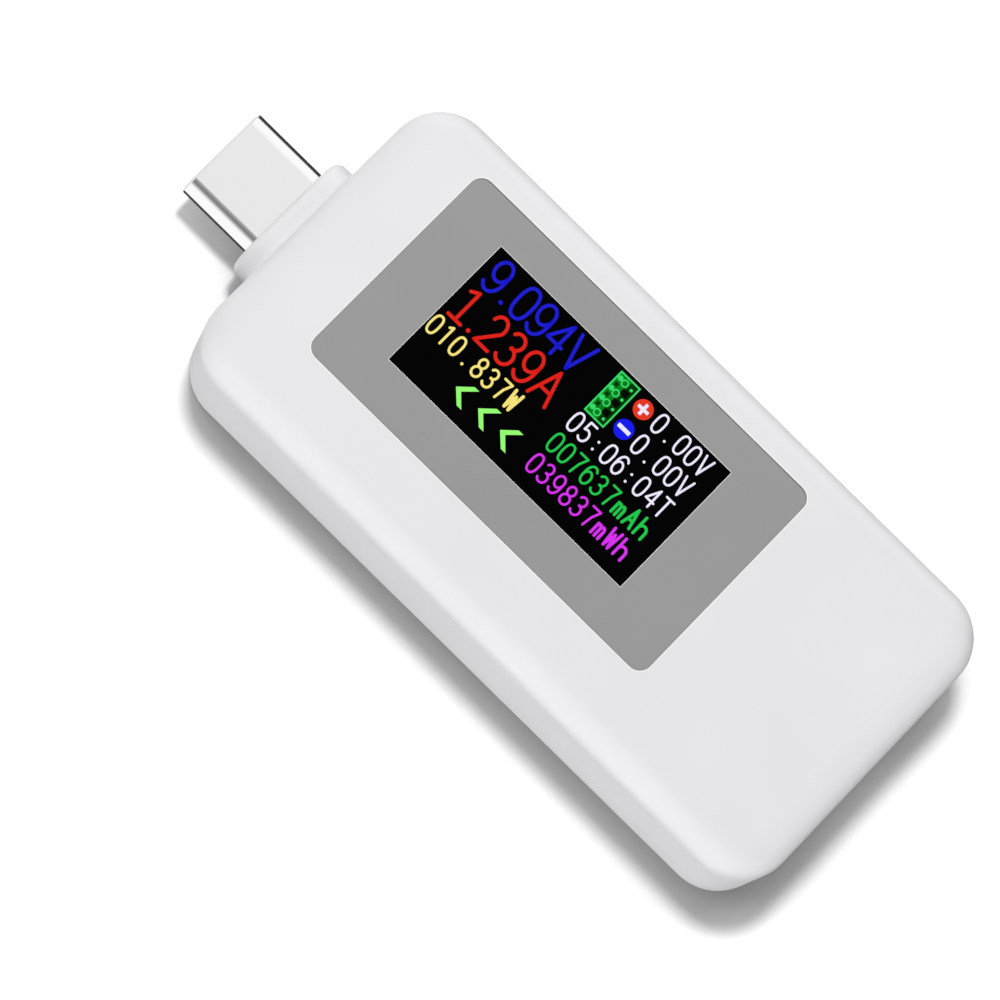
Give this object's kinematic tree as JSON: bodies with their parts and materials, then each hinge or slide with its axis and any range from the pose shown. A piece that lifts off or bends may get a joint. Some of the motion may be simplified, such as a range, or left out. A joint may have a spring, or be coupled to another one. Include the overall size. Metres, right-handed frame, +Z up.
{
  "type": "usb power meter",
  "caption": "In-line USB-C power meter: a rounded white case with a plug at one end, a socket at the other, a lit colour display on top and a small button in one side.",
  "frame": {"origin": "centre of the case's flat underside", "axes": "+X along the case from the plug to the socket, +Y across it towards the top of the display's readings, +Z up out of the display"},
  "size_m": [0.0662, 0.0282, 0.012],
  "materials": {
    "case_plastic": "semi-gloss white moulded plastic",
    "overlay_grey": "fine matt grey printed panel",
    "display_black": "smoked clear window over the lit display",
    "adhesive_film": "clear adhesive film",
    "foam": "black foam pad",
    "polarizer_film": "dark polarising film",
    "display_glass": "thin display glass",
    "silicon": "bare chip",
    "light_guide": "light guide and diffuser",
    "white_plastic": "white moulded plastic",
    "flex_film": "amber flexible circuit",
    "board_laminate": "green solder mask on laminate",
    "chip_epoxy": "black moulded chip package",
    "ceramic_grey": "glazed ceramic chip part",
    "ceramic_tan": "tan ceramic chip part",
    "plated_steel": "thin plated steel",
    "polished_steel": "polished stainless shell",
    "connector_plastic": "black connector plastic",
    "gold_plate": "gold plated contact"
  },
  "bodies": {
    "meter": {"top_case": "case_plastic", "back_cover": "case_plastic", "display_overlay": "overlay_grey", "display_window": "display_black", "overlay_adhesive": "adhesive_film", "display_pad": "foam", "lcd_polarizer": "polarizer_film", "lcd_filter_glass": "display_glass", "lcd_tft_glass": "display_glass", "lcd_driver_chip": "silicon", "lcd_backlight": "light_guide", "lcd_frame": "white_plastic", "lcd_flex": "flex_film", "main_board": "board_laminate", "microcontroller": "chip_epoxy", "sense_amplifier": "chip_epoxy", "voltage_regulator": "chip_epoxy", "memory_chip": "chip_epoxy", "current_shunt": "ceramic_grey", "crystal": "plated_steel", "chip_capacitors": "ceramic_tan", "chip_resistors": "ceramic_grey", "plug_shell": "polished_steel", "plug_ground_springs": "plated_steel", "plug_latches": "plated_steel", "plug_insulator": "connector_plastic", "plug_contacts_upper": "gold_plate", "plug_contacts_lower": "gold_plate", "socket_shell": "polished_steel", "socket_tongue": "connector_plastic", "socket_midplate": "plated_steel", "socket_contacts_upper": "gold_plate", "socket_contacts_lower": "gold_plate", "switch_body": "connector_plastic", "switch_cover": "plated_steel", "switch_dome": "plated_steel", "switch_terminals": "plated_steel"},
    "button": {"side_button": "case_plastic", "switch_plunger": "white_plastic"}
  },
  "joints": [
    {"name": "button_press", "type": "slide", "parent": "meter", "child": "button", "axis": [0, -1, 0], "range_m": [0, 0.00025], "stiffness_N_per_m": 1000, "springref_m": -0.001, "deforming": ["switch_dome"]}
  ]
}
